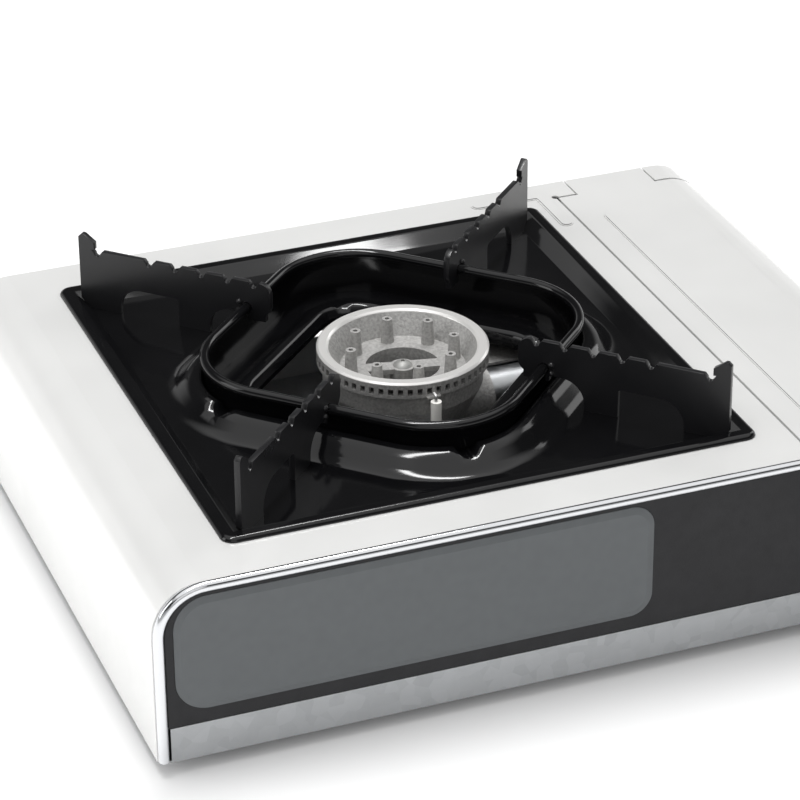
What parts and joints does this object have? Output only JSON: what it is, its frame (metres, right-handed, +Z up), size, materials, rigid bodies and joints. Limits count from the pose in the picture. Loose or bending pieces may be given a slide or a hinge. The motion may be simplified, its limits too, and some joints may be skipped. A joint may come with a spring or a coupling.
{
  "type": "portable gas stove",
  "caption": "Portable single-burner gas stove: stainless body, black enamel drip pan with notched pot supports, wind ring, and a lidded side bay for a cartridge.",
  "frame": {"origin": "centre of the model's box in plan, at the underside of the feet", "axes": "+X to the right, towards the cartridge bay; the control side faces -Y; +Z up"},
  "size_m": [0.36, 0.3014, 0.116],
  "materials": {
    "stainless": "bright rolled stainless steel",
    "chrome": "polished",
    "enamel": "gloss black enamel",
    "grey_panel": "matte grey",
    "black_plastic": "satin",
    "cast_alloy": "cast and machined",
    "zinc_steel": "zinc-plated",
    "brass": "plain",
    "ceramic": "glazed ceramic",
    "rubber": "matte"
  },
  "bodies": {
    "stove_body": {"body_shell": "stainless", "back_panel": "stainless", "base_plate": "zinc_steel", "rubber_feet": "rubber", "front_fascia": "black_plastic", "fascia_bezel": "chrome", "fascia_panel": "grey_panel", "burner_head": "cast_alloy", "burner_screw": "stainless", "burner_bowl": "cast_alloy", "mixing_tube": "zinc_steel", "burner_bracket": "zinc_steel", "gas_nozzle": "brass", "gas_pipe": "brass", "regulator_body": "zinc_steel", "governor_cover": "zinc_steel", "cartridge_socket": "zinc_steel", "regulator_bulkhead": "zinc_steel", "igniter_body": "black_plastic", "ignition_lead": "rubber", "electrode_ceramic": "ceramic", "electrode_tip": "stainless", "electrode_bracket": "zinc_steel", "partition_plate": "zinc_steel", "heat_plate": "cast_alloy", "cartridge_cradle": "zinc_steel", "pusher_guides": "zinc_steel", "lid_hinge_pins": "stainless", "base_screws": "zinc_steel", "fascia_screws": "zinc_steel"},
    "pan_set": {"drip_pan": "enamel", "wind_ring": "enamel", "support_front_left": "enamel", "support_front_right": "enamel", "support_back_right": "enamel", "support_back_left": "enamel"},
    "lid": {"lid": "stainless"},
    "knob": {"control_knob": "black_plastic", "valve_spindle": "brass"},
    "lever": {"lock_lever": "zinc_steel", "lever_grip": "black_plastic"},
    "pusher": {"pusher_bar": "zinc_steel", "cartridge_pusher": "zinc_steel"},
    "plunger": {"igniter_plunger": "rubber"}
  },
  "joints": [
    {"name": "lid_hinge", "type": "hinge", "parent": "stove_body", "child": "lid", "pos_m": [0.1417, 0.1431, 0.077], "axis": [-1, 0, 0], "range_deg": [0, 90]},
    {"name": "knob_turn", "type": "hinge", "parent": "stove_body", "child": "knob", "pos_m": [0.1417, -0.13675, 0.046], "axis": [0, -1, 0], "range_deg": [0, 165]},
    {"name": "lever_press", "type": "slide", "parent": "stove_body", "child": "lever", "axis": [0, 0, 1], "range_m": [-0.018, 0]},
    {"name": "pusher_slide", "type": "slide", "parent": "stove_body", "child": "pusher", "axis": [0, 1, 0], "range_m": [-0.006, 0]},
    {"name": "pan_lift", "type": "slide", "parent": "stove_body", "child": "pan_set", "axis": [0, 0, 1], "range_m": [0, 0.06]},
    {"name": "igniter_press", "type": "slide", "parent": "stove_body", "child": "plunger", "axis": [0, 1, 0], "range_m": [0, 0.004], "stiffness_N_per_m": 300}
  ],
  "couplings": [
    {"joint": "pusher_slide", "follows": "lever_press", "ratio": 0.33333}
  ]
}
